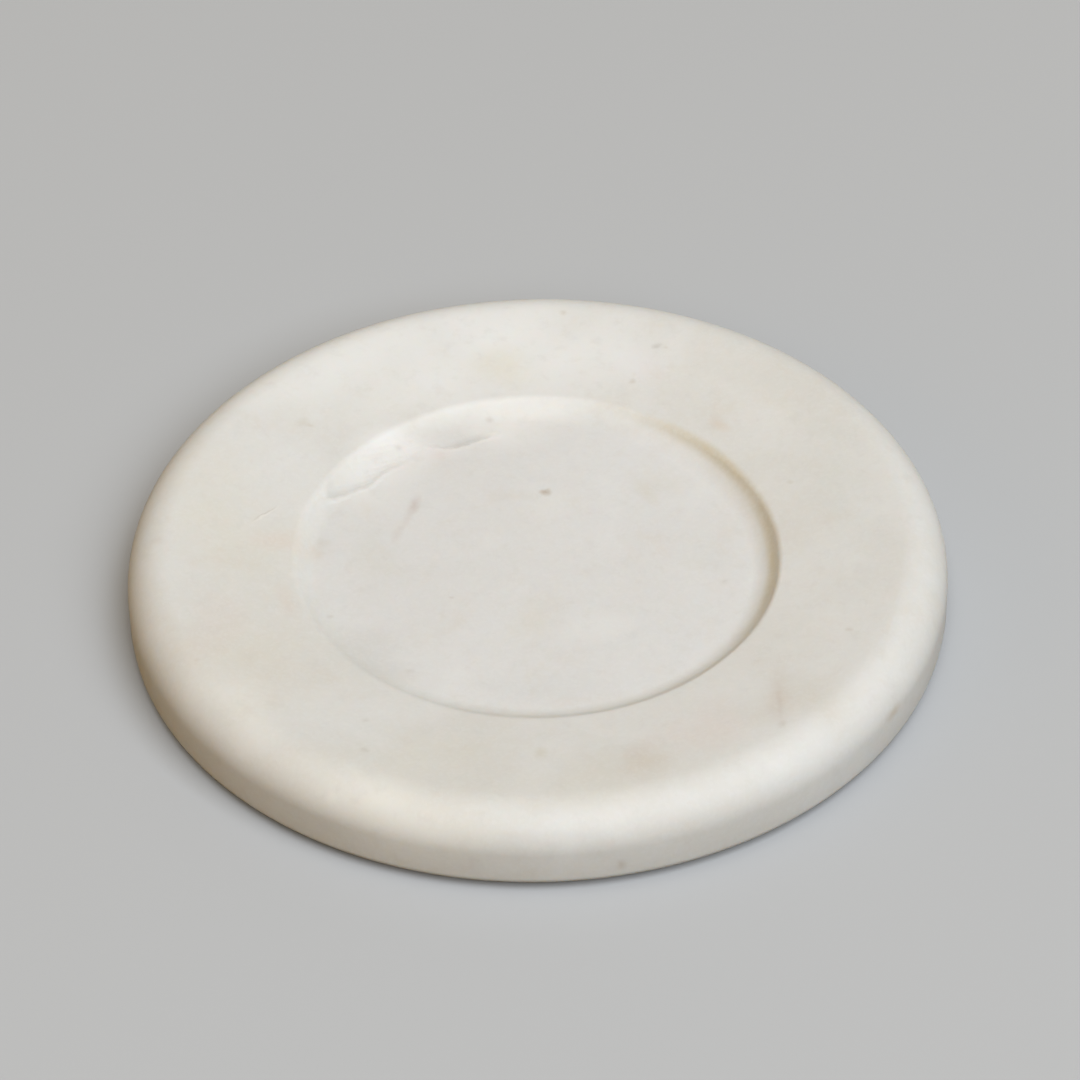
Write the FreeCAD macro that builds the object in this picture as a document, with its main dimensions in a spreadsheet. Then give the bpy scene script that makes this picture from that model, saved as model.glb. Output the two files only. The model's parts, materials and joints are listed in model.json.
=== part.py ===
# Ring dish: a thick round plate turned from one block of white stone. Its outer edge is
# rolled over, a wide rim falls gently inwards from it, and a shallow round recess with a
# soft lip and a coved foot is sunk in the middle. Four thin felt pads are stuck to its
# underside.
#
# Units are millimetres. +Z is up, and the origin is the centre of the circle that the pads
# stand on, so the felt is at z = 0. +Y points away from someone who looks at the dish.

import FreeCAD, Part
import math
import os
import Sketcher

# alias, value in millimetres (degrees for the angle), what it is
SIZES = [
    ("stone_diameter", 130.0, "outside diameter of the stone"),
    ("stone_thickness", 12.5, "underside to the crest, the highest circle of the rim"),
    ("edge_radius", 6.4, "the roll from the side over the crest to the rim"),
    ("arris_radius", 1.5, "rounding between the side and the underside"),
    ("rim_rise", 2.9, "inner end of the rim up to the crest"),
    ("recess_diameter", 77.8, "where the rim starts to turn down into the recess"),
    ("recess_depth", 2.0, "inner end of the rim down to the floor of the recess"),
    ("lip_radius", 2.1, "convex rounding at the top of the recess wall"),
    ("cove_radius", 4.6, "concave rounding at the foot of the recess wall"),
    ("pad_diameter", 12.0, "one felt pad"),
    ("pad_thickness", 1.0, "felt only, without its adhesive"),
    ("pad_edge_radius", 0.2, "soft lower edge of the felt"),
    ("pad_inset", 17.0, "side of the stone in to the centre of a pad"),
    ("first_pad_angle", 45.0, "direction of the first pad, anticlockwise from +X"),
    ("adhesive_margin", 0.4, "how much smaller in radius the adhesive is than its pad"),
    ("adhesive_thickness", 0.15, "double-sided film between felt and stone"),
]

# The pads stand a quarter turn apart, in this order from the first one.
PAD_PLACES = ["rear_right", "rear_left", "front_left", "front_right"]
PAD_STEP = 360.0 / len(PAD_PLACES)

# Where a sketch constraint holds a line or an arc, and the sketch's own origin point.
START, END, CENTRE = 1, 2, 3
ORIGIN = -1


def make_sheet(doc):
    """The driving dimensions, one row each: what it is, its value, and the alias."""
    sheet = doc.addObject("Spreadsheet::Sheet", "sizes")
    for row, (alias, value, meaning) in enumerate(SIZES, start=1):
        sheet.set("A%d" % row, meaning)
        sheet.set("B%d" % row, str(value))
        sheet.setAlias("B%d" % row, alias)
    doc.recompute()
    return sheet


def new_body(doc, label):
    body = doc.addObject("PartDesign::Body", label)
    body.Label = label
    return body


def new_sketch(body, name, plane_role):
    """A sketch on one of the body's own origin planes."""
    sketch = body.newObject("Sketcher::SketchObject", name)
    plane = [f for f in body.Origin.OriginFeatures if f.Role == plane_role][0]
    sketch.AttachmentSupport = (plane, [""])
    sketch.MapMode = "FlatFace"
    return sketch


def bind(sketch, constraint, expression):
    """Adds a dimension to a sketch and ties it to the sheet."""
    index = sketch.addConstraint(constraint)
    sketch.setExpression("Constraints[%d]" % index, expression)
    return index


def line(x1, y1, x2, y2):
    return Part.LineSegment(FreeCAD.Vector(x1, y1, 0), FreeCAD.Vector(x2, y2, 0))


def arc(cx, cy, radius, from_deg, to_deg):
    """An anticlockwise arc."""
    circle = Part.Circle(FreeCAD.Vector(cx, cy, 0), FreeCAD.Vector(0, 0, 1), radius)
    return Part.ArcOfCircle(circle, math.radians(from_deg), math.radians(to_deg))


def rim_slope(inner_end, edge_centre, edge_radius):
    """The rim's angle to the level, from its inner end to where it touches the edge's roll."""
    across = edge_centre[0] - inner_end[0]
    up = edge_centre[1] - inner_end[1]
    return math.degrees(math.atan2(up, across) + math.asin(edge_radius / math.hypot(across, up)))


def wall_angle(slope, lip, cove, depth):
    """The steepest angle of the recess wall, where the lip and the cove meet."""
    return math.degrees(math.acos((lip * math.cos(math.radians(slope)) + cove - depth) / (lip + cove)))


def make_stone(doc, sheet):
    """The stone, revolved from one half section that is drawn from the axis outwards."""
    outer = sheet.stone_diameter / 2
    top = sheet.stone_thickness
    edge, arris, lip, cove = sheet.edge_radius, sheet.arris_radius, sheet.lip_radius, sheet.cove_radius
    edge_x, edge_z = outer - edge, top - edge
    lip_x, lip_z = sheet.recess_diameter / 2, top - sheet.rim_rise
    floor = lip_z - sheet.recess_depth
    slope = rim_slope((lip_x, lip_z), (edge_x, edge_z), edge)
    wall = wall_angle(slope, lip, cove, sheet.recess_depth)

    def round_by(x, z, radius, angle):
        """The point of a circle in the direction of that angle, in degrees."""
        return x + radius * math.cos(math.radians(angle)), z + radius * math.sin(math.radians(angle))

    # The edge and the lip face up at 90 degrees plus the slope where the rim touches them.
    touch_x, touch_z = round_by(edge_x, edge_z, edge, 90 + slope)
    lip_centre = round_by(lip_x, lip_z, lip, 270 + slope)
    cove_centre = round_by(*lip_centre, lip + cove, 90 + wall)

    body = new_body(doc, "stone_dish")
    sketch = new_sketch(body, "half_section", "XZ_Plane")
    shapes = {
        "underside": line(0, 0, outer - arris, 0),
        "arris": arc(outer - arris, arris, arris, 270, 360),
        "side": line(outer, arris, outer, edge_z),
        "edge": arc(edge_x, edge_z, edge, 0, 90 + slope),
        "rim": line(touch_x, touch_z, lip_x, lip_z),
        "lip": arc(*lip_centre, lip, 90 + slope, 90 + wall),
        "cove": arc(*cove_centre, cove, 270, 270 + wall),
        "floor": line(cove_centre[0], floor, 0, floor),
        "axis": line(0, floor, 0, 0),
    }
    at = {name: sketch.addGeometry(shape, False) for name, shape in shapes.items()}

    def join(kind, one, one_end, other, other_end):
        sketch.addConstraint(Sketcher.Constraint(kind, at[one], one_end, at[other], other_end))

    sketch.addConstraint(Sketcher.Constraint("Coincident", at["underside"], START, ORIGIN, START))
    join("Tangent", "underside", END, "arris", START)
    join("Tangent", "arris", END, "side", START)
    join("Tangent", "side", END, "edge", START)
    join("Tangent", "edge", END, "rim", START)
    join("Tangent", "rim", END, "lip", START)
    join("Tangent", "lip", END, "cove", END)
    join("Tangent", "cove", START, "floor", START)
    join("Coincident", "floor", END, "axis", START)
    join("Coincident", "axis", END, "underside", START)
    for level in ("underside", "floor"):
        sketch.addConstraint(Sketcher.Constraint("Horizontal", at[level]))
    for upright in ("side", "axis"):
        sketch.addConstraint(Sketcher.Constraint("Vertical", at[upright]))

    def across(name, end, value, expression):
        bind(sketch, Sketcher.Constraint("DistanceX", ORIGIN, START, at[name], end, value), expression)

    def above_underside(name, end, value, expression):
        bind(sketch, Sketcher.Constraint("DistanceY", ORIGIN, START, at[name], end, value), expression)

    def radius(name, value):
        bind(sketch, Sketcher.Constraint("Radius", at[name], value), "sizes.%s_radius" % name)

    across("side", END, outer, "sizes.stone_diameter / 2")
    across("rim", END, lip_x, "sizes.recess_diameter / 2")
    above_underside("edge", CENTRE, edge_z, "sizes.stone_thickness - sizes.edge_radius")
    above_underside("rim", END, lip_z, "sizes.stone_thickness - sizes.rim_rise")
    floor_height = "sizes.stone_thickness - sizes.rim_rise - sizes.recess_depth"
    above_underside("floor", START, floor, floor_height)
    radius("arris", arris)
    radius("edge", edge)
    radius("lip", lip)
    radius("cove", cove)

    turned = body.newObject("PartDesign::Revolution", "turned_stone")
    turned.Profile = sketch
    turned.ReferenceAxis = (sketch, ["V_Axis"])
    turned.Angle = 360.0
    body.Tip = turned
    body.setExpression("Placement.Base.z", "sizes.pad_thickness + sizes.adhesive_thickness")
    return body


def place_under_rim(thing, number, height):
    """Puts a pad or its film on the pad circle, at that height above the table."""
    angle = "(sizes.first_pad_angle + %g) * 1 deg" % (number * PAD_STEP)
    reach = "(sizes.stone_diameter / 2 - sizes.pad_inset)"
    thing.setExpression("Placement.Base.x", "%s * cos(%s)" % (reach, angle))
    thing.setExpression("Placement.Base.y", "%s * sin(%s)" % (reach, angle))
    thing.setExpression("Placement.Base.z", height)


def make_pad(doc, sheet, number, place):
    """One die-cut felt disc with a soft lower edge."""
    body = new_body(doc, "felt_pad_" + place)
    sketch = new_sketch(body, "disc_" + place, "XY_Plane")
    disc = Part.Circle(FreeCAD.Vector(0, 0, 0), FreeCAD.Vector(0, 0, 1), sheet.pad_diameter / 2)
    outline = sketch.addGeometry(disc, False)
    sketch.addConstraint(Sketcher.Constraint("Coincident", outline, CENTRE, ORIGIN, START))
    size = Sketcher.Constraint("Diameter", outline, sheet.pad_diameter)
    bind(sketch, size, "sizes.pad_diameter")

    felt = body.newObject("PartDesign::Pad", "felt_" + place)
    felt.Profile = sketch
    felt.setExpression("Length", "sizes.pad_thickness")
    doc.recompute()

    soft = body.newObject("PartDesign::Fillet", "soft_edge_" + place)
    lower = [n for n, e in enumerate(felt.Shape.Edges, start=1) if e.BoundBox.ZMax < 1e-6]
    soft.Base = (felt, ["Edge%d" % n for n in lower])
    soft.setExpression("Radius", "sizes.pad_edge_radius")
    body.Tip = soft
    place_under_rim(body, number, "0 mm")
    return body


def make_adhesive(doc, number, place):
    """The round double-sided film that holds one pad to the stone."""
    film = doc.addObject("Part::Cylinder", "pad_adhesive_" + place)
    film.Label = "pad_adhesive_" + place
    film.setExpression("Radius", "sizes.pad_diameter / 2 - sizes.adhesive_margin")
    film.setExpression("Height", "sizes.adhesive_thickness")
    place_under_rim(film, number, "sizes.pad_thickness")
    return film


def check(doc, pieces):
    """Stops if any object failed, or a piece has no sound solid."""
    failed = [o.Name for o in doc.Objects if {"Invalid", "Error"} & set(o.State)]
    if failed:
        raise RuntimeError("failed objects: " + ", ".join(failed))
    for piece in pieces:
        shape = piece.Shape
        if shape.isNull() or not shape.isValid() or len(shape.Solids) != 1:
            raise RuntimeError(piece.Label + " isn't one valid solid")


def main():
    doc = FreeCAD.newDocument("ring_dish")
    sheet = make_sheet(doc)
    pieces = [make_stone(doc, sheet)]
    for number, place in enumerate(PAD_PLACES):
        pieces.append(make_pad(doc, sheet, number, place))
        pieces.append(make_adhesive(doc, number, place))
    doc.recompute()
    check(doc, pieces)
    os.makedirs("parts", exist_ok=True)
    for piece in pieces:
        piece.Shape.exportStep("parts/%s.step" % piece.Label)
        box = piece.Shape.BoundBox
        print(
            "%-26s volume %10.2f mm3  z %6.2f to %6.2f"
            % (piece.Label, piece.Shape.Volume, box.ZMin, box.ZMax)
        )


main()
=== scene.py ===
"""The looks of a turned white marble ring dish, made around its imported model.

Everything is in metres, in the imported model's own frame. +Z is up, the felt pads stand on
z = 0, and +Y points away from someone who looks at the dish.
"""

import bpy
import json
import math
import numpy as np
from mathutils import Matrix, Vector, noise

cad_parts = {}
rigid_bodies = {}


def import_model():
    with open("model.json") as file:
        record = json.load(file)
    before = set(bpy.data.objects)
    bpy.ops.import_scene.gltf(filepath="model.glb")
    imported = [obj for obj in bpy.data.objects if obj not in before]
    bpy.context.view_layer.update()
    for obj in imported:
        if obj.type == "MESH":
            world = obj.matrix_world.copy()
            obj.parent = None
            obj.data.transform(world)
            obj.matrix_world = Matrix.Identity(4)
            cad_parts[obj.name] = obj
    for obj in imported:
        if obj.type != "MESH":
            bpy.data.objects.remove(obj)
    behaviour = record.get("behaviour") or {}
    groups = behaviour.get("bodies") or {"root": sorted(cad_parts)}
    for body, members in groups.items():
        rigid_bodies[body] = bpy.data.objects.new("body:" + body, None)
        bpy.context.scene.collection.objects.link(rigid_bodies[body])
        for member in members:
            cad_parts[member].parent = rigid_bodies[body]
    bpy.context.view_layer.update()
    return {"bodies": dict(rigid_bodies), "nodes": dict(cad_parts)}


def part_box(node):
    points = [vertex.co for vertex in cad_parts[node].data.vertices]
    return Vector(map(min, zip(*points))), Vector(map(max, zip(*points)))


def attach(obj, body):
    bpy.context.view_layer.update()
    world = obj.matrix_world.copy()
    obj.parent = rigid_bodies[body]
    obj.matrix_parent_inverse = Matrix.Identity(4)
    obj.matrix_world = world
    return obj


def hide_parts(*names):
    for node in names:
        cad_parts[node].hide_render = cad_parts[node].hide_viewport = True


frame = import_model()

MM = 0.001

# ---------------------------------------------------------------- sizes of the stone
STONE_LOW, STONE_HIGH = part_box("stone_dish")
OUTER = STONE_HIGH[0]
UNDERSIDE = STONE_LOW[2]
CREST = STONE_HIGH[2]
EDGE_RADIUS = 6.4 * MM
ARRIS_RADIUS = 1.5 * MM
RIM_RISE = 2.9 * MM
RECESS_RADIUS = 38.9 * MM
RECESS_DEPTH = 2.0 * MM
LIP_HEIGHT = CREST - RIM_RISE
FLOOR_HEIGHT = LIP_HEIGHT - RECESS_DEPTH


# ---------------------------------------------------------------- the camera
FOCAL_LENGTH = 150.0            # mm on a 36 mm sensor
VIEW_DISTANCE = 712.9 * MM
VIEW_ELEVATION = 41.24          # degrees above the table
VIEW_ROLL = 1.2                 # degrees, the right side of the dish higher
VIEW_AIM = Vector((0.49 * MM, 2.49 * MM, LIP_HEIGHT))


def make_camera():
    """The camera of the photograph: a long lens that looks down from the front."""
    up_angle = math.radians(VIEW_ELEVATION)
    place = Vector((0, -math.cos(up_angle), math.sin(up_angle))) * VIEW_DISTANCE
    place.z += LIP_HEIGHT
    data = bpy.data.cameras.new("view")
    data.lens = FOCAL_LENGTH
    data.sensor_width = 36.0
    data.clip_start = 0.01
    camera = bpy.data.objects.new("view", data)
    bpy.context.scene.collection.objects.link(camera)
    look = (VIEW_AIM - place).to_track_quat("-Z", "Y").to_matrix()
    roll = Matrix.Rotation(math.radians(VIEW_ROLL), 3, "Z")
    camera.matrix_world = Matrix.Translation(place) @ (look @ roll.inverted()).to_4x4()
    bpy.context.scene.camera = camera


# ---------------------------------------------------------------- floor and light
def srgb(red, green, blue):
    """A colour given as 0 to 255 on screen, as the linear numbers that shaders take."""
    shares = (c / 255 for c in (red, green, blue))
    return tuple(c / 12.92 if c <= 0.04045 else ((c + 0.055) / 1.055) ** 2.4 for c in shares)


FLOOR_SEEN = srgb(190, 191, 192)
FLOOR_BOUNCE = (0.07, 0.055, 0.03)
FLOOR_SIZE = 6.0

# The key is cool, what comes from all around is warm, and warmest from the left. Together
# they light a level surface with about 1 in each colour.
KEY_COLOUR = (0.82, 0.885, 0.97)
AMBIENT = (0.20, 0.14, 0.05)
WARM_COLOUR = (1.0, 0.55, 0.12)
FILL_COLOUR = (0.90, 0.95, 1.0)
LAMP_DISTANCE = 3.0


class Nodes:
    """Short calls for building one node tree."""

    def __init__(self, tree):
        self.tree = tree
        tree.nodes.clear()

    def add(self, kind, inputs=None, **settings):
        """A node with its settings, whose inputs are values or other nodes' outputs."""
        node = self.tree.nodes.new(kind)
        for name, value in settings.items():
            setattr(node, name, value)
        for socket, value in (inputs or {}).items():
            self.put(node.inputs[socket], value)
        return node

    def put(self, socket, value):
        if isinstance(value, bpy.types.NodeSocket):
            self.tree.links.new(value, socket)
        elif socket.type == "RGBA" and len(value) == 3:
            socket.default_value = (*value, 1.0)
        else:
            socket.default_value = value

    def sum(self, kind, *values, clamp=False):
        """One arithmetic step, such as ADD or MULTIPLY."""
        node = self.add("ShaderNodeMath", dict(enumerate(values)), operation=kind, use_clamp=clamp)
        return node.outputs[0]

    def mix(self, share, one, other, blend="MIX"):
        node = self.add("ShaderNodeMix", data_type="RGBA", blend_type=blend)
        for socket, value in ((0, share), (6, one), (7, other)):
            self.put(node.inputs[socket], value)
        return node.outputs[2]

    def step(self, value, low, high, out_low=0.0, out_high=1.0):
        """A soft step of value, from out_low at low to out_high at high."""
        inputs = dict(enumerate((value, low, high, out_low, out_high)))
        node = self.add("ShaderNodeMapRange", inputs, interpolation_type="SMOOTHSTEP")
        return node.outputs[0]

    def noise(self, place, size, detail=3.0, roughness=0.5, distortion=0.0):
        """Cloudy noise about 0.5, whose blotches are about size metres across."""
        inputs = {"Vector": place, "Scale": 1 / size, "Detail": detail, "Roughness": roughness}
        inputs["Distortion"] = distortion
        return self.add("ShaderNodeTexNoise", inputs).outputs["Fac"]


def new_material(name):
    material = bpy.data.materials.new(name)
    material.use_nodes = True
    return material, Nodes(material.node_tree)


def camera_sees(nodes):
    """1 where the camera looks straight, or by a reflection or through glass."""
    light_path = nodes.add("ShaderNodeLightPath")
    seen = [light_path.outputs[name] for name in ("Is Camera Ray", "Is Glossy Ray", "Is Transmission Ray")]
    return nodes.sum("MAXIMUM", nodes.sum("MAXIMUM", seen[0], seen[1]), seen[2])


def make_floor():
    """A plain pale floor that keeps the dish's shadow and throws little light back up."""
    mesh = bpy.data.meshes.new("floor")
    half = FLOOR_SIZE / 2
    corners = [(-half, -half, 0), (half, -half, 0), (half, half, 0), (-half, half, 0)]
    mesh.from_pydata(corners, [], [(0, 1, 2, 3)])
    floor = bpy.data.objects.new("floor", mesh)
    bpy.context.scene.collection.objects.link(floor)
    material, nodes = new_material("floor")
    colour = nodes.mix(camera_sees(nodes), FLOOR_BOUNCE, FLOOR_SEEN)
    matte = nodes.add("ShaderNodeBsdfDiffuse", {"Color": colour})
    nodes.add("ShaderNodeOutputMaterial", {"Surface": matte.outputs[0]})
    mesh.materials.append(material)


def make_world():
    """A faint warm light from all around, behind which the background is pale."""
    world = bpy.data.worlds.new("studio")
    world.use_nodes = True
    bpy.context.scene.world = world
    nodes = Nodes(world.node_tree)
    ambient = nodes.add("ShaderNodeBackground", {"Color": AMBIENT, "Strength": 1.0})
    pale = nodes.add("ShaderNodeBackground", {"Color": FLOOR_SEEN, "Strength": 1.0})
    shaders = {0: camera_sees(nodes), 1: ambient.outputs[0], 2: pale.outputs[0]}
    both = nodes.add("ShaderNodeMixShader", shaders)
    nodes.add("ShaderNodeOutputWorld", {"Surface": both.outputs[0]})


def make_lamp(name, azimuth, elevation, size, power, colour):
    """A square soft box that faces the dish. Azimuth 0 is the right side, 90 the back."""
    turn, lift = math.radians(azimuth), math.radians(elevation)
    away = Vector((math.cos(turn) * math.cos(lift), math.sin(turn) * math.cos(lift), math.sin(lift)))
    data = bpy.data.lights.new(name, "AREA")
    data.shape = "SQUARE"
    data.size = size
    data.energy = power
    data.color = colour
    lamp = bpy.data.objects.new(name, data)
    bpy.context.scene.collection.objects.link(lamp)
    lamp.matrix_world = Matrix.Translation(away * LAMP_DISTANCE) @ away.to_track_quat("Z", "Y").to_matrix().to_4x4()


def make_light():
    make_world()
    make_lamp("key", -62, 53.5, 2.85, 126, KEY_COLOUR)
    make_lamp("warm", 205, 12, 2.5, 12, WARM_COLOUR)
    make_lamp("fill", 80, 15, 3.0, 14, FILL_COLOUR)


# ---------------------------------------------------------------- the stone's shape
# The recess is cut by hand, so its wall differs round the dish. Each station has a
# direction in degrees, and there, in millimetres, how much further out the rim ends, the
# lip's and the cove's radius, and how much deeper than RECESS_DEPTH the foot lies.
STATIONS = [
    (-90, 0.2, 2.4, 5.4, -0.4),
    (-70, 0.3, 2.2, 5.0, -0.4),
    (-48, 0.2, 1.5, 4.6, 0.1),
    (-16, 0.3, 1.2, 4.6, 0.8),
    (16, -0.2, 1.4, 4.4, 1.0),
    (48, -0.8, 1.6, 4.6, 0.7),
    (80, 0.0, 1.7, 7.0, -0.2),
    (110, 0.4, 2.2, 8.0, -0.3),
    (140, 0.4, 2.2, 7.0, -0.1),
    (170, 0.3, 2.2, 4.2, -0.1),
    (200, 0.1, 2.8, 4.6, -0.4),
    (235, 0.1, 3.2, 6.0, -0.8),
    (252, 0.2, 2.8, 5.4, -0.6),
]
RIM_BEND = 48 * MM              # where the rim's rings lie further apart
FLOOR_BEND = 24 * MM            # and the floor's
CRACK_BEND = 29.5 * MM          # where the floor's rings lie closest


def at_stations(turn):
    """The four sizes of the stations for each direction, in metres."""
    table = np.array(STATIONS, dtype=float)
    where = np.concatenate([table[:, 0] - 360, table[:, 0], table[:, 0] + 360])
    degrees = (np.degrees(turn) + 90) % 360 - 90
    return [smooth_through(degrees, where, np.tile(table[:, column], 3)) * MM for column in range(1, 5)]


def smooth_through(at, where, values):
    """A smooth curve through values, read at each place (Catmull-Rom)."""
    slopes = np.gradient(values, where)
    after = np.clip(np.searchsorted(where, at, side="right"), 1, len(where) - 1)
    x0, x1 = where[after - 1], where[after]
    span = x1 - x0
    t = (at - x0) / span
    start = values[after - 1] * (1 + 2 * t) * (1 - t) ** 2 + slopes[after - 1] * span * t * (1 - t) ** 2
    end = values[after] * t ** 2 * (3 - 2 * t) + slopes[after] * span * t ** 2 * (t - 1)
    return start + end


def profile(turn):
    """The half section in each direction, from the middle of the floor out and round below.

    It gives three grids with a row for each ring and a column for each direction: radius,
    height, and the angle that the surface faces, where 90 is straight up, 0 is outwards
    and -90 is down.
    """
    further, lip, cove, deeper = at_stations(turn)
    upright = math.pi / 2
    across, up = OUTER - EDGE_RADIUS - RECESS_RADIUS, RIM_RISE - EDGE_RADIUS
    slope = math.atan2(up, across) + math.asin(EDGE_RADIUS / math.hypot(across, up))
    rim_x = RECESS_RADIUS + further
    rim_z = LIP_HEIGHT + further * math.tan(slope)
    depth = RECESS_DEPTH + deeper + rim_z - LIP_HEIGHT
    wall = np.arccos((lip * math.cos(slope) + cove - depth) / (lip + cove))
    lip_x = rim_x + lip * math.sin(slope)
    lip_z = rim_z - lip * math.cos(slope)
    cove_x = lip_x - (lip + cove) * np.sin(wall)
    cove_z = rim_z - depth + cove
    edge_x, edge_z = OUTER - EDGE_RADIUS, CREST - EDGE_RADIUS
    touch_x = edge_x - EDGE_RADIUS * math.sin(slope)
    touch_z = edge_z + EDGE_RADIUS * math.cos(slope)
    bend_z = LIP_HEIGHT + (RIM_BEND - RECESS_RADIUS) * math.tan(slope)
    arris_x, arris_z = OUTER - ARRIS_RADIUS, UNDERSIDE + ARRIS_RADIUS
    rings = []

    def ring(*values):
        rings.append([np.broadcast_to(value, turn.shape) for value in values])

    def straight(x0, z0, x1, z1, facing, count):
        for t in np.linspace(0, 1, count, endpoint=False):
            ring(x0 + (x1 - x0) * t, z0 + (z1 - z0) * t, facing)

    def bend(x, z, radius, first, last, count, hollow=False):
        """An arc by the angles that its surface faces."""
        side = -1 if hollow else 1
        for t in np.linspace(0, 1, count, endpoint=False):
            facing = first + (last - first) * t
            ring(x + side * radius * np.cos(facing), z + side * radius * np.sin(facing), facing)

    inner_z = FLOOR_HEIGHT - deeper * FLOOR_BEND / cove_x
    crack_z = FLOOR_HEIGHT - deeper * CRACK_BEND / cove_x
    straight(0, FLOOR_HEIGHT, FLOOR_BEND, inner_z, upright, 14)
    straight(FLOOR_BEND, inner_z, CRACK_BEND, crack_z, upright, 10)
    straight(CRACK_BEND, crack_z, cove_x, cove_z - cove, upright, 32)
    bend(cove_x, cove_z, cove, upright, upright + wall, 26, hollow=True)
    bend(lip_x, lip_z, lip, upright + wall, upright + slope, 12)
    straight(rim_x, rim_z, RIM_BEND, bend_z, upright + slope, 28)
    straight(RIM_BEND, bend_z, touch_x, touch_z, upright + slope, 6)
    bend(edge_x, edge_z, EDGE_RADIUS, upright + slope, 0, 15)
    straight(OUTER, edge_z, OUTER, arris_z, 0.0, 2)
    bend(arris_x, arris_z, ARRIS_RADIUS, 0, -upright, 6)
    straight(arris_x, UNDERSIDE, 0, UNDERSIDE, -upright, 6)
    ring(0, UNDERSIDE, -upright)
    return np.array(rings).transpose(1, 0, 2)


# The stone's natural cracks, as lines on it seen from above. Each row is a point in
# millimetres, and there how far the stone steps down on the line's left, how much fuller
# it is beyond the step, and how strong the painted shade is on the low side: grey that
# stands in for the shading of the hollow beyond the step.
WALL_CRACK = [
    (-33.7, 15.3, 0.03, 0.00, 0.62),
    (-32.6, 15.9, 0.06, 0.00, 0.66),
    (-31.3, 16.7, 0.07, 0.05, 0.58),
    (-30.0, 17.6, 0.07, 0.12, 0.48),
    (-28.5, 18.5, 0.08, 0.18, 0.42),
    (-27.5, 18.8, 0.07, 0.20, 0.32),
    (-26.5, 20.0, 0.06, 0.22, 0.30),
    (-25.3, 21.7, 0.05, 0.22, 0.26),
    (-24.1, 22.9, 0.04, 0.22, 0.20),
    (-22.5, 23.9, 0.03, 0.22, 0.10),
    (-20.4, 25.2, 0.01, 0.20, 0.05),
    (-18.6, 27.2, 0.01, 0.16, 0.05),
    (-17.9, 28.8, 0.01, 0.10, 0.05),
]
FLOOR_CRACK = [
    (-17.9, 29.2, 0.02, 0.0, 0.05),
    (-16.6, 28.6, 0.07, 0.0, 0.10),
    (-15.2, 28.2, 0.13, 0.0, 0.25),
    (-13.6, 28.1, 0.21, 0.0, 0.50),
    (-12.3, 28.5, 0.26, 0.0, 0.80),
    (-11.0, 29.1, 0.27, 0.0, 0.85),
    (-9.7, 29.8, 0.22, 0.0, 0.60),
    (-8.5, 30.3, 0.14, 0.0, 0.25),
    (-7.6, 30.7, 0.07, 0.0, 0.10),
    (-6.4, 31.0, 0.02, 0.0, 0.00),
]
# Each crack, how wide the face of its step is, how far beyond it the stone stays low, how
# high a ridge stands along its near side, and how far the painted shade reaches, in millimetres.
CRACKS = [
    (WALL_CRACK, 0.13, 3.4, 0.09, 2.3),
    (FLOOR_CRACK, 0.40, 3.6, 0.09, 1.6),
]
WALL_CRACK_END = -33.65         # the painted shade under the wall stops short at this x
# Small pits and knobs: the place, the radius and the height in millimetres.
PITS = [
    (-7.3, 34.6, 0.60, -0.05),
    (-22.3, 27.9, 0.60, -0.03),
    (-6.7, 31.0, 1.10, 0.13),
    (-34.4, 16.2, 0.90, 0.08),
    (29.5, -5.4, 0.50, -0.03),
    (-13.6, -8.8, 0.40, -0.04),
]
FINE_FROM, FINE_TO = math.radians(98), math.radians(173)
FINE_STEP, COARSE_STEP = math.radians(0.24), math.radians(1.1)


def along_line(x, y, rows):
    """For each place, how far it is left of the line, and the line's own sizes nearest it."""
    rows = np.array(rows)
    best = np.full(x.shape, 1e9)
    left = np.zeros(x.shape)
    sizes = np.zeros((3,) + x.shape)
    for first, second in zip(rows[:-1], rows[1:]):
        length = math.hypot(*(second[:2] - first[:2]))
        dx, dy = (second[:2] - first[:2]) / length
        t = np.clip((x - first[0]) * dx + (y - first[1]) * dy, 0, length)
        away = np.hypot(x - first[0] - t * dx, y - first[1] - t * dy)
        side = np.sign(dx * (y - first[1]) - dy * (x - first[0]))
        nearer = away < best
        best = np.where(nearer, away, best)
        left = np.where(nearer, side * away, left)
        here = first[2:, None, None] + (second - first)[2:, None, None] * t / length
        sizes = np.where(nearer, here, sizes)
    beyond_ends = np.hypot(x - np.clip(x, rows[:, 0].min(), rows[:, 0].max()),
                           y - np.clip(y, rows[:, 1].min(), rows[:, 1].max()))
    return left, sizes * np.exp(-(beyond_ends / 1.5) ** 2)


def soft_step(value, low, high):
    t = np.clip((value - low) / (high - low), 0, 1)
    return t * t * (3 - 2 * t)


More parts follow.
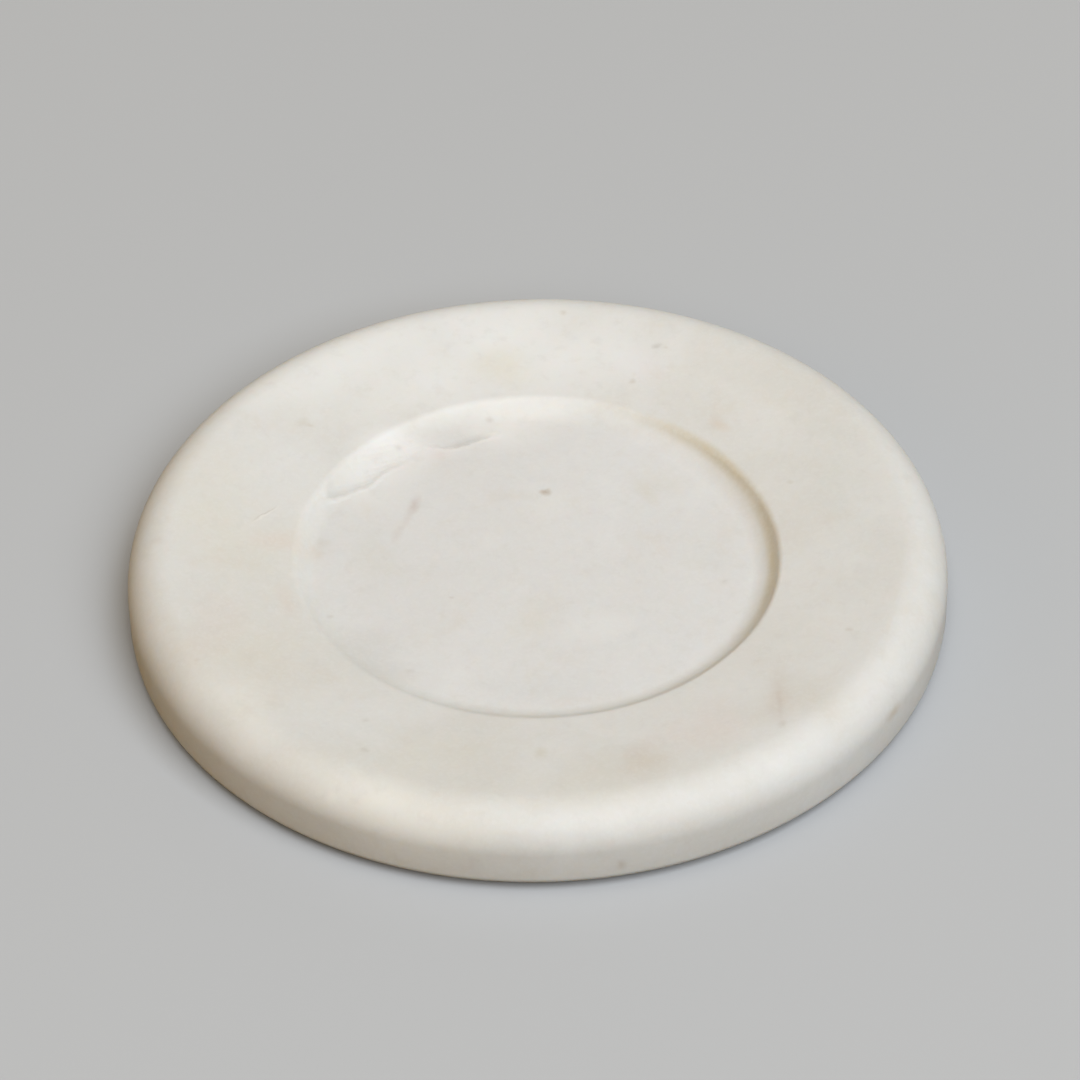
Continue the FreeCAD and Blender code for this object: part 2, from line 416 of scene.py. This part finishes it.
def relief(x, y):
    """How far the stone stands proud at each place, in metres, and how much painted shade it has there."""
    x, y = x / MM, y / MM
    wander = 0.09 * np.sin(3.1 * x + 1.7 * y) + 0.06 * np.sin(5.3 * y - 2.2 * x + 1.0) + 0.04 * np.sin(9.7 * x + 4.1 * y)
    height, painted_shade = np.zeros(x.shape), np.zeros(x.shape)
    for rows, face, reach, ridge, fade in CRACKS:
        left, (step, fuller, veil) = along_line(x, y, rows)
        left = left + wander
        beyond = 1 / (1 + np.exp(-np.clip(left / face, -40, 40)))
        height -= step * beyond * (1 - soft_step(left, 0.3, reach))
        height += fuller * soft_step(left, 0, 2.5) * (1 - soft_step(left, 2.5, 6.5))
        height += ridge * np.clip(step / 0.05, 0, 1) * np.exp(-((left + 0.65) / 0.45) ** 2)
        whole = 1 / (1 + np.exp(-np.clip((x - WALL_CRACK_END) / 0.1, -40, 40)))
        # Painted shade: grey on the step's low side, fading away from the line, for the shading there.
        painted_shade += veil * beyond * np.exp(-np.clip(left, 0, None) / fade) * whole
    for px, py, radius, rise in PITS:
        near = np.exp(-((x - px) ** 2 + (y - py) ** 2) / radius ** 2)
        height += rise * near
        # Painted shade darkens each dent.
        if rise < 0:
            painted_shade += near * 0.3
    return height * MM, np.clip(painted_shade, 0, 1)


def angles():
    """The directions of the mesh's columns, closer together where the cracks are."""
    fine = np.arange(FINE_FROM, FINE_TO, FINE_STEP)
    rest = math.tau - (FINE_TO - FINE_FROM)
    coarse = FINE_TO + np.linspace(0, rest, round(rest / COARSE_STEP), endpoint=False)
    return np.concatenate([fine, coarse])


def mesh_object(name, points, faces):
    mesh = bpy.data.meshes.new(name)
    mesh.from_pydata([tuple(p) for p in points], [], faces)
    mesh.validate()
    mesh.shade_smooth()
    piece = bpy.data.objects.new(name, mesh)
    bpy.context.scene.collection.objects.link(piece)
    return piece


def make_stone():
    turn = angles()
    columns = len(turn)
    radius, height, facing = profile(turn)
    middle_points = [(0, 0, height[0, 0]), (0, 0, height[-1, 0])]
    radius, height, facing = (grid[1:-1] for grid in (radius, height, facing))
    x, y = radius * np.cos(turn), radius * np.sin(turn)
    proud, painted_shade = relief(x, y)
    proud, painted_shade = proud * (facing > 0), painted_shade * (facing > 0)
    out = proud * np.cos(facing)
    x, y = x + out * np.cos(turn), y + out * np.sin(turn)
    z = height + proud * np.sin(facing)
    points = np.stack([x, y, z], axis=-1).reshape(-1, 3).tolist()
    rings = len(radius)
    faces = []
    for ring in range(rings - 1):
        here, there = ring * columns, (ring + 1) * columns
        for column in range(columns):
            beside = (column + 1) % columns
            faces.append((here + column, there + column, there + beside, here + beside))
    middle, under = len(points), len(points) + 1
    points += middle_points
    last = (rings - 1) * columns
    for column in range(columns):
        beside = (column + 1) % columns
        faces.append((middle, column, beside))
        faces.append((under, last + beside, last + column))
    stone = mesh_object("marble_dish", points, faces)
    # The painted shade beside the cracks and in the dents goes to the material as a layer.
    layer = stone.data.attributes.new("painted_crack_shade", "FLOAT", "POINT")
    layer.data.foreach_set("value", np.concatenate([painted_shade.ravel(), [0, 0]]).astype(np.float32))
    layer = stone.data.attributes.new("clouds_and_painted_light", "FLOAT_COLOR", "POINT")
    layer.data.foreach_set("color", cloud_and_light_layer(points).ravel().astype(np.float32))
    stone.data.materials.append(marble())
    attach(stone, ROOT)
    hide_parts("stone_dish")


# ---------------------------------------------------------------- the felt pads
PAD_PLACES = ["rear_right", "rear_left", "front_left", "front_right"]
PAD_EDGE = 0.2 * MM             # soft lower edge of the felt
PAD_COLUMNS = 120


def make_pad(place, seed, felt):
    """One die-cut felt disc, slightly uneven at its edge and on the face it stands on."""
    low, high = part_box("felt_pad_" + place)
    middle, radius = (low + high) / 2, (high.x - low.x) / 2
    outline = [(radius * t, low.z) for t in np.linspace(0.08, 0.94, 12)]
    for t in np.linspace(0, math.pi / 2, 6):
        outline.append((radius - PAD_EDGE + PAD_EDGE * math.sin(t), low.z + PAD_EDGE - PAD_EDGE * math.cos(t)))
    outline += [(radius, low.z + (high.z - low.z) * t) for t in (0.4, 0.6, 0.8, 0.97)]
    outline += [(radius * t, high.z) for t in (0.985, 0.8, 0.4)]
    points = []
    for r, z in outline:
        for turn in np.linspace(0, math.tau, PAD_COLUMNS, endpoint=False):
            at = Vector((r * math.cos(turn), r * math.sin(turn), z))
            rough = noise.noise(at / (0.9 * MM) + Vector((seed, 0, 0))) * 0.6 + noise.noise(at / (0.35 * MM)) * 0.4
            if r > radius * 0.95 and z < high.z:
                at.xy *= 1 - abs(rough) * 0.012
            if z < low.z + PAD_EDGE:
                at.z += abs(rough) * 0.05 * MM
            points.append((middle.x + at.x, middle.y + at.y, at.z))
    faces = []
    for ring in range(len(outline) - 1):
        here, there = ring * PAD_COLUMNS, (ring + 1) * PAD_COLUMNS
        for column in range(PAD_COLUMNS):
            beside = (column + 1) % PAD_COLUMNS
            faces.append((here + column, here + beside, there + beside, there + column))
    faces.append(list(range(PAD_COLUMNS))[::-1])
    last = (len(outline) - 1) * PAD_COLUMNS
    faces.append([last + column for column in range(PAD_COLUMNS)])
    pad = mesh_object("felt_disc_" + place, points, faces)
    pad.data.materials.append(felt)
    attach(pad, ROOT)
    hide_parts("felt_pad_" + place)


def dress_film(place, film):
    """The adhesive keeps its CAD shape and gets a material of its own."""
    mesh = frame["nodes"]["pad_adhesive_" + place].data
    mesh.materials.clear()
    mesh.materials.append(film)


# ---------------------------------------------------------------- materials
IVORY = srgb(218, 215, 208)     # the rim
MILKY = srgb(222, 220, 215)     # its paler clouds
COOL = srgb(221, 219, 216)      # the floor of the recess
TAN = srgb(205, 189, 165)
CRYSTAL = srgb(233, 232, 229)
SHADE = srgb(208, 204, 197)
SHADED_WALL_OCHRE = srgb(202, 190, 161)      # painted shade: a darker ochre tint for the steep right part of the recess wall, in shadow from the key light
CRACK_SHADE_GREY = srgb(168, 164, 156)
CHALK = srgb(226, 223, 216)     # stone dust in the sawn underside
SAW_CENTRE = (210 * MM, 140 * MM, UNDERSIDE)
SAW_PITCH = 1.7 * MM

# Paler and darker areas of the stone, and a few that are painted light: painted shade at the
# foot of the front recess wall and painted highlight on the front-left of the edge's roll.
# Each row: the middle in millimetres, how far it reaches to both sides along and across,
# the turn in degrees, its colour, and how strong it is.
CLOUDS_AND_PAINTED_LIGHT = [
    (0, 52, 62, 20, 0, (235, 234, 231), 0.75),
    (-38, 44, 30, 14, 40, (236, 235, 231), 0.60),
    (-2, 46, 10, 6, 0, (219, 211, 186), 0.35),
    (20, 44, 7, 6, 0, (232, 225, 226), 0.30),
    (-50, 8, 14, 26, 10, (222, 215, 196), 0.32),
    (-46, -28, 16, 18, -30, (220, 212, 195), 0.28),
    (-52, -18, 5, 12, 10, (216, 199, 184), 0.25),
    (-42, -11, 3, 6, 0, (220, 198, 180), 0.25),
    (-43, 4, 4, 5, 0, (222, 203, 188), 0.28),
    (18, -50.5, 4, 9, -12, (197, 179, 158), 0.30),
    (4, -55, 26, 8, 3, (214, 207, 188), 0.30),
    (37, -38, 4, 12, 4, (200, 182, 166), 0.34),
    (25, -44, 8, 9, -20, (220, 204, 194), 0.35),
    (42, -38, 8, 10, 40, (208, 200, 184), 0.30),
    (49, 12, 8, 26, 8, (214, 214, 208), 0.35),
    (-20, -50, 18, 8, -12, (218, 214, 198), 0.30),
    (-22, 26, 13, 7, 38, (238, 235, 232), 0.75),
    (-5, 33.2, 16, 7, 4, (240, 237, 232), 0.70),
    (-27, 3, 6, 9, 12, (211, 206, 190), 0.35),
    # Painted shade: darker at the foot of the front-left recess wall.
    (-26, -22, 12, 6, -42, (206, 204, 198), 0.45),
    (-1, -15, 4, 7, 0, (215, 208, 190), 0.25),
    (9, -17, 9, 7, 20, (232, 231, 228), 0.35),
    (24, 2, 7, 9, 0, (213, 212, 206), 0.35),
    (22, 20, 7, 6, 0, (218, 213, 200), 0.30),
    # Painted shade: a darker band along the foot of the front recess wall.
    (0, -31, 26, 5, 0, (212, 211, 208), 0.40),
    (2, 16, 12, 7, 0, (228, 227, 222), 0.40),
    (-24, 38, 22, 8, 33, (238, 236, 231), 0.24),
    (-27, 18, 12, 9, 40, (238, 236, 232), 0.45),
    (33, 38, 18, 9, -40, (236, 234, 229), 0.22),
    # Painted highlight: these two brighten the front-left of the edge's roll.
    (-22, -56.5, 24, 8, -22, (241, 239, 231), 0.48),
    (-45, -39, 14, 7, -50, (240, 237, 228), 0.36),
    (52, -8, 8, 16, 0, (209, 206, 198), 0.26),
    (33, -41, 8, 6, 0, (206, 197, 182), 0.28),
]
# Small stains and specks, and a few painted highlights, in the same way, with their height too.
MARKS_AND_PAINTED_LIGHT = [
    (-19.6, 14.0, 8.5, 1.4, 3.2, -14, (150, 98, 70), 0.22),
    (-20.8, 10.5, 8.5, 1.2, 4.1, -22, (166, 128, 108), 0.12),
    (-22.3, 6.8, 8.5, 1.2, 3.4, -22, (172, 140, 116), 0.12),
    (-34.3, 5.0, 9.0, 1.8, 2.2, 0, (178, 158, 130), 0.15),
    (-35.0, 2.6, 9.4, 2.0, 2.4, 0, (196, 168, 140), 0.20),
    (1.5, 16.4, 8.5, 1.5, 1.2, 0, (156, 120, 64), 0.50),
    (20.6, 48.5, 12.2, 1.4, 1.0, 20, (150, 132, 108), 0.34),
    (22.0, 47.9, 12.2, 0.8, 0.6, 0, (172, 156, 132), 0.28),
    (16.3, 40.8, 11.1, 0.9, 0.8, 0, (166, 142, 106), 0.28),
    (-26.5, -47.2, 12.3, 1.2, 0.9, 0, (148, 132, 110), 0.31),
    (-26.6, -39.7, 11.7, 0.9, 0.8, 0, (158, 140, 116), 0.16),
    (-0.2, -47.6, 12.0, 1.4, 2.6, 0, (188, 170, 128), 0.22),
    (-20.0, -26.4, 8.6, 1.5, 1.2, 30, (156, 140, 118), 0.28),
    (-60.1, 1.2, 13.4, 1.8, 1.4, 0, (174, 154, 138), 0.12),
    (-37.9, 31.2, 12.3, 1.8, 1.4, 30, (190, 174, 140), 0.19),
    (-36.6, 30.6, 12.2, 1.2, 0.6, 0, (186, 168, 134), 0.22),
    (-7.3, 34.6, 9.1, 1.0, 0.8, 0, (170, 158, 142), 0.14),
    (-22.3, 27.9, 9.6, 0.9, 0.8, 0, (190, 184, 176), 0.08),
    (-32.7, -12.9, 8.6, 0.9, 0.8, 0, (172, 160, 142), 0.28),
    (-13.6, -8.8, 8.5, 0.8, 0.6, 0, (168, 150, 124), 0.28),
    (29.5, -5.2, 8.5, 1.5, 0.5, 25, (174, 162, 150), 0.14),
    (17.9, 16.6, 8.7, 2.2, 5.2, 24, (197, 187, 152), 0.20),
    (30.3, 29.5, 11.3, 3.0, 1.8, -40, (206, 176, 138), 0.21),
    (11.6, -64.2, 4.4, 1.3, 1.5, 0, (158, 138, 114), 0.25),
    (41.0, 14.5, 11.2, 0.8, 0.8, 0, (182, 168, 144), 0.25),
    (-52.5, -27.0, 12.8, 0.9, 0.8, 0, (182, 156, 124), 0.25),
    (5.2, 57.1, 13.5, 1.0, 0.8, 0, (182, 166, 138), 0.25),
    (47.9, -22.6, 12.9, 0.9, 0.8, 0, (176, 160, 136), 0.24),
    # Painted highlight: a short light streak on the front-left of the roll, for a small facet there.
    (-31.5, -55.3, 11.2, 1.2, 2.4, -25, (240, 237, 230), 0.32),
    (53.9, -36.2, 8.0, 3.2, 2.4, 50, (190, 172, 138), 0.42),
    # The crack on the left of the rim: a dark line, with a painted highlight along its side that faces the key light.
    (-43.6, 9.3, 11.3, 4.3, 0.22, 47, (168, 154, 130), 0.30),
    (-43.35, 9.05, 11.3, 4.3, 0.30, 47, (240, 236, 228), 0.45),
    # Painted highlight on the knob at the floor crack's right end.
    (-7.0, 31.0, 8.7, 2.0, 1.0, 8, (244, 241, 235), 0.50),
    (-17.3, 28.3, 8.7, 1.8, 1.1, 20, (236, 232, 227), 0.35),
    (-15.6, 26.3, 8.6, 2.8, 2.0, 0, (226, 212, 206), 0.40),
    (24.5, -0.9, 8.7, 2.8, 2.4, 0, (200, 193, 164), 0.14),
    (36.3, -38.6, 12.8, 0.8, 7.0, 0, (180, 160, 142), 0.15),
    (36.3, -44.0, 13.2, 0.9, 1.3, 0, (172, 154, 134), 0.22),
]
CLOUD_HEIGHT, CLOUD_DEPTH = 11, 11      # millimetres, as is how far noise moves them
CLOUD_DRIFT = 5
MARK_DEPTH = 1.6 * MM


def cloud_and_light_layer(points):
    """The colour of the clouds and the painted shade and highlights at each point of the mesh, with how much they
    cover as its alpha.
    """
    points = np.array(points)
    drift = np.array([noise.turbulence_vector(Vector(point) / (16 * MM), 2, False) for point in points])
    x, y, z = (points / MM + CLOUD_DRIFT * drift).T
    colour, cover = np.zeros((len(points), 3)), np.zeros((len(points), 1))
    for middle_x, middle_y, along, across, turn, tone, strength in CLOUDS_AND_PAINTED_LIGHT:
        cos, sin = math.cos(math.radians(turn)), math.sin(math.radians(turn))
        dx, dy = x - middle_x, y - middle_y
        away = np.sqrt(((cos * dx + sin * dy) / along) ** 2 + ((cos * dy - sin * dx) / across) ** 2
                       + ((z - CLOUD_HEIGHT) / CLOUD_DEPTH) ** 2)
        share = (strength * (1 - soft_step(away, 0, 1)))[:, None]
        colour = colour * (1 - share) + share * np.array(srgb(*tone))
        cover = cover + share * (1 - cover)
    return np.concatenate([colour / np.maximum(cover, 1e-6), cover], axis=1)


def ellipse_patch(nodes, place, middle, reach, turn, strength):
    """As much as strength in the middle of a soft ellipse and 0 outside it."""
    mapping = nodes.add("ShaderNodeMapping", {
        "Vector": place,
        "Location": middle,
        "Rotation": (0, 0, math.radians(turn)),
        "Scale": reach,
    }, vector_type="TEXTURE")
    away = nodes.add("ShaderNodeVectorMath", {0: mapping.outputs[0]}, operation="LENGTH")
    return nodes.step(away.outputs["Value"], 0.0, 1.0, strength, 0.0)


def warped(nodes, place, size, reach):
    """The place, moved about by up to reach in blotches of that size, for natural edges."""
    noise_node = nodes.add("ShaderNodeTexNoise", {"Vector": place, "Scale": 1 / size, "Detail": 3.0})
    centred = nodes.add("ShaderNodeVectorMath", {0: noise_node.outputs["Color"], 1: (0.5,) * 3}, operation="SUBTRACT")
    moved = nodes.add("ShaderNodeVectorMath", {0: centred.outputs[0], "Scale": 2 * reach}, operation="SCALE")
    return nodes.add("ShaderNodeVectorMath", {0: place, 1: moved.outputs[0]}, operation="ADD").outputs[0]


def marble():
    """Honed white marble: ivory clouds, a cooler recess, stains, mottling and fine grain, with painted shade on the
    right of the recess wall, beside the cracks and at the foot of the front wall, and a few painted highlights.
    """
    material, nodes = new_material("honed_marble")
    coordinates = nodes.add("ShaderNodeTexCoord")
    place = coordinates.outputs["Object"]
    axes = nodes.add("ShaderNodeSeparateXYZ", {0: place})
    from_axis = nodes.sum("SQRT", nodes.sum(
        "ADD", nodes.sum("POWER", axes.outputs[0], 2.0), nodes.sum("POWER", axes.outputs[1], 2.0)))

    veils = nodes.noise(place, 32 * MM, detail=5, roughness=0.55, distortion=0.7)
    colour = nodes.mix(nodes.step(veils, 0.36, 0.66), IVORY, MILKY)
    colour = nodes.mix(nodes.step(from_axis, 33 * MM, 37.5 * MM, 0.75, 0.0), colour, COOL)
    # The clouds, with the painted shade at the front wall's foot and the painted highlight on the front-left roll,
    # come from the mesh's layer.
    clouds_and_painted_light = nodes.add("ShaderNodeAttribute", attribute_name="clouds_and_painted_light")
    colour = nodes.mix(clouds_and_painted_light.outputs["Alpha"], colour, clouds_and_painted_light.outputs["Color"])
    # Painted shade: a darker ochre tint on the steep right part of the recess wall, which faces away from the key
    # light and lies in shadow.
    rightwards = nodes.sum("DIVIDE", nodes.sum("ADD", nodes.sum("MULTIPLY", axes.outputs[0], 0.966), nodes.sum("MULTIPLY", axes.outputs[1], 0.259)), from_axis)
    painted_wall_shade = nodes.sum("MULTIPLY", nodes.step(rightwards, 0.55, 0.98),
                      nodes.step(nodes.sum("ABSOLUTE", nodes.sum("SUBTRACT", from_axis, 37.4 * MM)), 0, 1.5 * MM, 1.0, 0.0))
    painted_wall_shade = nodes.sum("MULTIPLY", painted_wall_shade, nodes.step(axes.outputs[2], FLOOR_HEIGHT - 3 * MM, FLOOR_HEIGHT - 1.5 * MM))
    colour = nodes.mix(nodes.sum("MULTIPLY", painted_wall_shade, nodes.step(veils, 0.3, 0.6, 0.45, 0.75)), colour, SHADED_WALL_OCHRE)
    blotches = nodes.noise(place, 9 * MM, detail=6, roughness=0.62, distortion=0.4)
    colour = nodes.mix(nodes.step(blotches, 0.52, 0.78, 0.0, 0.16), colour, TAN)
    colour = nodes.mix(nodes.step(blotches, 0.50, 0.26, 0.0, 0.22), colour, CRYSTAL)
    mottling = nodes.noise(place, 2.4 * MM, detail=4, roughness=0.6)
    colour = nodes.mix(nodes.step(mottling, 0.50, 0.74, 0.0, 0.22), colour, SHADE)
    crystals = nodes.add("ShaderNodeTexVoronoi", {"Vector": place, "Scale": 1 / (0.55 * MM)}).outputs["Color"]
    sparkle = nodes.add("ShaderNodeSeparateXYZ", {0: crystals}).outputs[0]
    colour = nodes.mix(nodes.step(sparkle, 0.35, 1.0, 0.0, 0.12), colour, CRYSTAL)

    ragged = warped(nodes, place, 1.6 * MM, 0.5 * MM)
    # Stains and specks, and the few painted highlights among them.
    for x, y, z, along, across, turn, tone, strength in MARKS_AND_PAINTED_LIGHT:
        middle = (x * MM, y * MM, z * MM)
        share = ellipse_patch(nodes, ragged, middle, (along * MM, across * MM, MARK_DEPTH), turn, strength)
        colour = nodes.mix(share, colour, srgb(*tone))

    # Painted shade beside the cracks and in the dents, from the mesh's layer.
    painted_crack_shade = nodes.add("ShaderNodeAttribute", attribute_name="painted_crack_shade").outputs["Fac"]
    colour = nodes.mix(nodes.sum("MULTIPLY", painted_crack_shade, 0.5), colour, CRACK_SHADE_GREY)

    # The underside was left as the saw cut it, in faint arcs that wander and fade.
    sawn = nodes.step(axes.outputs[2], UNDERSIDE + 0.1 * MM, UNDERSIDE + 0.4 * MM, 1.0, 0.0)
    from_saw = nodes.add("ShaderNodeVectorMath", {0: place, 1: SAW_CENTRE}, operation="DISTANCE").outputs["Value"]
    drift = nodes.noise(place, 14 * MM, detail=4, roughness=0.6)
    strokes = nodes.sum("ADD", nodes.sum("MULTIPLY", from_saw, math.tau / SAW_PITCH), nodes.sum("MULTIPLY", drift, 16.0))
    fading = nodes.step(nodes.noise(place, 11 * MM, detail=4), 0.42, 0.68)
    cuts = nodes.sum("MULTIPLY", nodes.sum("MULTIPLY", nodes.sum("SINE", strokes), fading), sawn)
    dusty = nodes.step(nodes.noise(place, 4 * MM, detail=5, roughness=0.65), 0.35, 0.65, 0.15, 0.50)
    colour = nodes.mix(nodes.sum("MULTIPLY", sawn, dusty), colour, CHALK)

    # The honed faces are silky, with a fine grain.
    grain = nodes.noise(place, 0.35 * MM, detail=3, roughness=0.7)
    wear = nodes.noise(place, 6 * MM, detail=3)
    rough = nodes.sum("ADD", nodes.step(grain, 0.2, 0.8, 0.51, 0.61), nodes.step(wear, 0.3, 0.7, -0.04, 0.05))
    undulation = nodes.noise(place, 5 * MM, detail=2)
    relief_map = nodes.sum("ADD", nodes.sum("MULTIPLY", grain, 0.12), undulation)
    relief_map = nodes.sum("ADD", relief_map, nodes.sum("MULTIPLY", cuts, 0.4))
    rough = nodes.sum("ADD", rough, nodes.sum("MULTIPLY", sawn, 0.25))
    honed = nodes.add("ShaderNodeBump", {"Height": relief_map, "Strength": 0.35, "Distance": 0.06 * MM})
    surface = nodes.add("ShaderNodeBsdfPrincipled", {
        "Base Color": colour,
        "Roughness": rough,
        "Normal": honed.outputs[0],
        "IOR": 1.5,
        "Specular IOR Level": 0.4,
        "Subsurface Weight": 1.0,
        "Subsurface Radius": (1.0, 0.8, 0.65),
        "Subsurface Scale": 0.4 * MM,
    })
    nodes.add("ShaderNodeOutputMaterial", {"Surface": surface.outputs[0]})
    return material


FELT_DARK, FELT_PALE = srgb(176, 169, 157), srgb(214, 208, 197)


def felt():
    """Pressed wool felt: tangled fibres in two tones, with a soft sheen."""
    material, nodes = new_material("felt")
    place = nodes.add("ShaderNodeTexCoord").outputs["Object"]
    tangle = warped(nodes, place, 0.5 * MM, 0.35 * MM)
    fibres = nodes.add("ShaderNodeTexNoise", {"Vector": tangle, "Scale": 1 / (0.22 * MM), "Detail": 4.0, "Distortion": 2.5})
    tufts = nodes.noise(place, 1.4 * MM, detail=4, roughness=0.6)
    share = nodes.sum("ADD", nodes.step(fibres.outputs["Fac"], 0.32, 0.68, 0.0, 0.8), nodes.step(tufts, 0.3, 0.7, -0.1, 0.2))
    colour = nodes.mix(share, FELT_DARK, FELT_PALE)
    bump = nodes.add("ShaderNodeBump", {"Height": fibres.outputs["Fac"], "Strength": 0.7, "Distance": 0.08 * MM})
    surface = nodes.add("ShaderNodeBsdfPrincipled", {
        "Base Color": colour,
        "Roughness": nodes.step(tufts, 0.2, 0.8, 0.90, 0.98),
        "Normal": bump.outputs[0],
        "Specular IOR Level": 0.2,
        "Sheen Weight": 0.35,
        "Sheen Roughness": 0.5,
    })
    nodes.add("ShaderNodeOutputMaterial", {"Surface": surface.outputs[0]})
    return material


def adhesive():
    """Double-sided film: pale amber, glossy, a little uneven."""
    material, nodes = new_material("adhesive_film")
    place = nodes.add("ShaderNodeTexCoord").outputs["Object"]
    smears = nodes.noise(place, 2.0 * MM, detail=3)
    colour = nodes.mix(nodes.step(smears, 0.3, 0.7), srgb(208, 198, 172), srgb(222, 214, 192))
    bump = nodes.add("ShaderNodeBump", {"Height": smears, "Strength": 0.3, "Distance": 0.03 * MM})
    surface = nodes.add("ShaderNodeBsdfPrincipled", {
        "Base Color": colour,
        "Roughness": nodes.step(smears, 0.2, 0.8, 0.30, 0.45),
        "Normal": bump.outputs[0],
    })
    nodes.add("ShaderNodeOutputMaterial", {"Surface": surface.outputs[0]})
    return material


# ---------------------------------------------------------------- the object
ROOT = next(iter(frame["bodies"]))

bpy.context.scene.view_settings.view_transform = "Standard"
make_camera()
make_floor()
make_light()
make_stone()
wool, film = felt(), adhesive()
for number, place in enumerate(PAD_PLACES):
    make_pad(place, number * 7.3, wool)
    dress_film(place, film)
